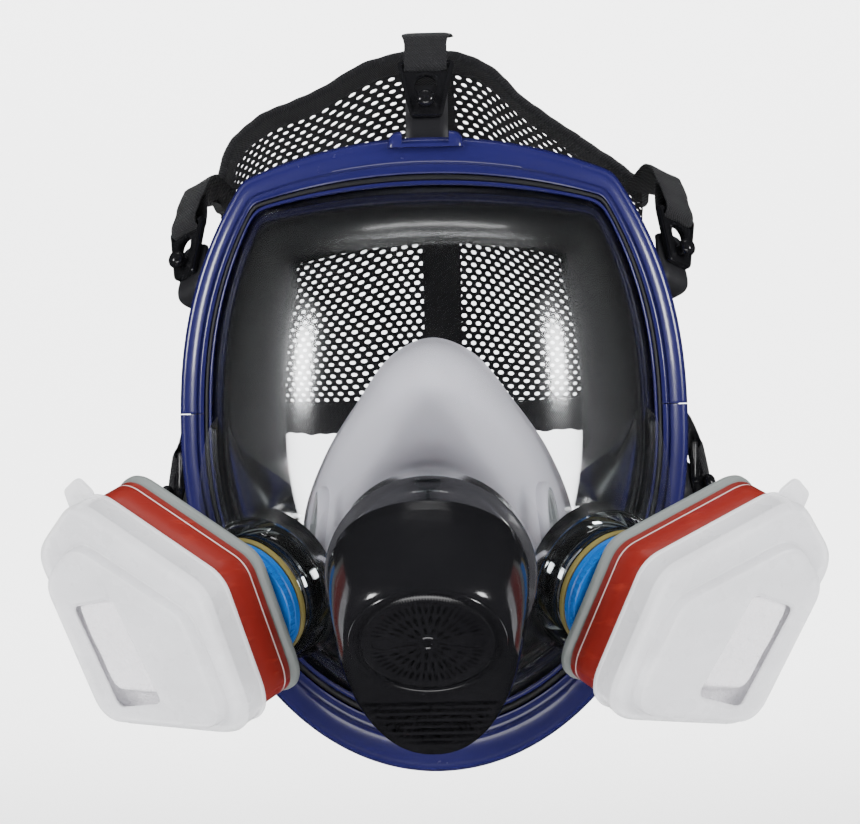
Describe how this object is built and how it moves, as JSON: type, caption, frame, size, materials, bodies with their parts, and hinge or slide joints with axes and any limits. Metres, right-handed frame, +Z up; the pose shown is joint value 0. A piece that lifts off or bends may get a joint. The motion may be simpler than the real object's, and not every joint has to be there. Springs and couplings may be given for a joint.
{
  "type": "full-face respirator",
  "caption": "Full-face respirator with a wide clear visor, two angled bayonet filter cartridges, a chin outlet with a round cap and a mesh head harness.",
  "frame": {"origin": "the middle of the face opening in the rubber seal, in the plane of the seal's back edge", "axes": "+Z up, -Y the way the mask looks, +Y back into the wearer, +X to the right as seen from the front"},
  "size_m": [0.2645, 0.2871, 0.269],
  "materials": {
    "blue_plastic": "polished",
    "clear_plastic": "clear",
    "black_rubber": "matte",
    "black_gloss": "glossy",
    "smoky_plastic": "glossy",
    "white_silicone": "satin",
    "clear_silicone": "satin",
    "olive_rubber": "satin",
    "bayonet_blue": "satin",
    "grey_plastic": "satin",
    "red_label": "satin",
    "charcoal": "granular",
    "white_felt": "matte",
    "milky_plastic": "satin",
    "black_mesh": "matte",
    "black_webbing": "woven",
    "steel": "bright"
  },
  "bodies": {
    "mask": {"upper_frame": "blue_plastic", "lower_frame": "blue_plastic", "left_clamp_screw": "steel", "right_clamp_screw": "steel", "left_clamp_nut": "steel", "right_clamp_nut": "steel", "visor_gasket": "black_rubber", "visor_trim": "blue_plastic", "visor": "clear_plastic", "face_seal": "black_rubber", "nose_cup": "white_silicone", "mouth_collar": "smoky_plastic", "exhalation_housing": "black_gloss", "outlet_valve_seat": "white_silicone", "net_left": "black_mesh", "net_right": "black_mesh", "net_centre_band": "black_webbing", "net_crown_binding": "black_webbing", "net_nape_binding": "black_webbing", "left_port_collar": "clear_plastic", "left_inlet_valve_seat": "black_gloss", "left_port_gasket": "olive_rubber", "left_cup_valve_seat": "clear_silicone", "right_port_collar": "clear_plastic", "right_inlet_valve_seat": "black_gloss", "right_port_gasket": "olive_rubber", "right_cup_valve_seat": "clear_silicone", "top_stud": "black_gloss", "top_strap": "black_webbing", "left_temple_stud": "black_gloss", "left_temple_strap": "black_webbing", "right_temple_stud": "black_gloss", "right_temple_strap": "black_webbing", "left_cheek_stud": "black_gloss", "left_cheek_strap": "black_webbing", "right_cheek_stud": "black_gloss", "right_cheek_strap": "black_webbing"},
    "left_filter": {"left_bayonet_ring": "bayonet_blue", "left_cartridge_body": "grey_plastic", "left_carbon_bed": "charcoal", "left_cartridge_label": "red_label"},
    "left_cover": {"left_retainer": "milky_plastic", "left_filter_pad": "white_felt"},
    "left_inlet_flap": {"left_inlet_valve_flap": "olive_rubber"},
    "left_cup_flap": {"left_cup_valve_flap": "clear_silicone"},
    "right_filter": {"right_bayonet_ring": "bayonet_blue", "right_cartridge_body": "grey_plastic", "right_carbon_bed": "charcoal", "right_cartridge_label": "red_label"},
    "right_cover": {"right_retainer": "milky_plastic", "right_filter_pad": "white_felt"},
    "right_inlet_flap": {"right_inlet_valve_flap": "olive_rubber"},
    "right_cup_flap": {"right_cup_valve_flap": "clear_silicone"},
    "cap": {"valve_cap": "black_gloss"},
    "outlet_flap": {"outlet_valve_flap": "clear_silicone"},
    "top_buckle": {"top_buckle": "black_gloss"},
    "left_temple_buckle": {"left_temple_buckle": "black_gloss"},
    "right_temple_buckle": {"right_temple_buckle": "black_gloss"},
    "left_cheek_buckle": {"left_cheek_buckle": "black_gloss"},
    "right_cheek_buckle": {"right_cheek_buckle": "black_gloss"}
  },
  "joints": [
    {"name": "left_filter_twist", "type": "hinge", "parent": "mask", "child": "left_filter", "pos_m": [-0.056, -0.084, -0.052], "axis": [-0.5469, -0.7661, -0.3376], "range_deg": [0, 40]},
    {"name": "left_cover_pull", "type": "slide", "parent": "left_filter", "child": "left_cover", "axis": [-0.5469, -0.7661, -0.3376], "range_m": [0, 0.018]},
    {"name": "left_inlet_flap_lift", "type": "slide", "parent": "mask", "child": "left_inlet_flap", "axis": [0.5469, 0.7661, 0.3376], "range_m": [0, 0.0015], "stiffness_N_per_m": 8},
    {"name": "left_cup_flap_lift", "type": "slide", "parent": "mask", "child": "left_cup_flap", "axis": [0.9829, 0.14, -0.12], "range_m": [0, 0.0015], "stiffness_N_per_m": 8},
    {"name": "right_filter_twist", "type": "hinge", "parent": "mask", "child": "right_filter", "pos_m": [0.056, -0.084, -0.052], "axis": [0.5469, -0.7661, -0.3376], "range_deg": [0, 40]},
    {"name": "right_cover_pull", "type": "slide", "parent": "right_filter", "child": "right_cover", "axis": [0.5469, -0.7661, -0.3376], "range_m": [0, 0.018]},
    {"name": "right_inlet_flap_lift", "type": "slide", "parent": "mask", "child": "right_inlet_flap", "axis": [-0.5469, 0.7661, 0.3376], "range_m": [0, 0.0015], "stiffness_N_per_m": 8},
    {"name": "right_cup_flap_lift", "type": "slide", "parent": "mask", "child": "right_cup_flap", "axis": [-0.9829, 0.14, -0.12], "range_m": [0, 0.0015], "stiffness_N_per_m": 8},
    {"name": "cap_twist", "type": "hinge", "parent": "mask", "child": "cap", "pos_m": [0, -0.15, -0.0665], "axis": [0, -0.7071, -0.7071], "range_deg": [0, 60]},
    {"name": "outlet_flap_lift", "type": "slide", "parent": "mask", "child": "outlet_flap", "axis": [0, -0.7071, -0.7071], "range_m": [0, 0.002], "stiffness_N_per_m": 8},
    {"name": "top_buckle_swivel", "type": "hinge", "parent": "mask", "child": "top_buckle", "pos_m": [0, -0.0446, 0.1155], "axis": [0, -0.9707, 0.2402], "range_deg": [-15, 15], "deforming": ["top_strap"]},
    {"name": "left_temple_buckle_swivel", "type": "hinge", "parent": "mask", "child": "left_temple_buckle", "pos_m": [-0.0885, -0.023, 0.062], "axis": [-0.7513, -0.5959, 0.2836], "range_deg": [-15, 15], "deforming": ["left_temple_strap"]},
    {"name": "right_temple_buckle_swivel", "type": "hinge", "parent": "mask", "child": "right_temple_buckle", "pos_m": [0.0885, -0.023, 0.062], "axis": [0.7513, -0.5959, 0.2836], "range_deg": [-15, 15], "deforming": ["right_temple_strap"]},
    {"name": "left_cheek_buckle_swivel", "type": "hinge", "parent": "mask", "child": "left_cheek_buckle", "pos_m": [-0.094, -0.015, -0.022], "axis": [-0.975, -0.1901, 0.1151], "range_deg": [-15, 15], "deforming": ["left_cheek_strap"]},
    {"name": "right_cheek_buckle_swivel", "type": "hinge", "parent": "mask", "child": "right_cheek_buckle", "pos_m": [0.094, -0.015, -0.022], "axis": [0.975, -0.1901, 0.1151], "range_deg": [-15, 15], "deforming": ["right_cheek_strap"]}
  ]
}
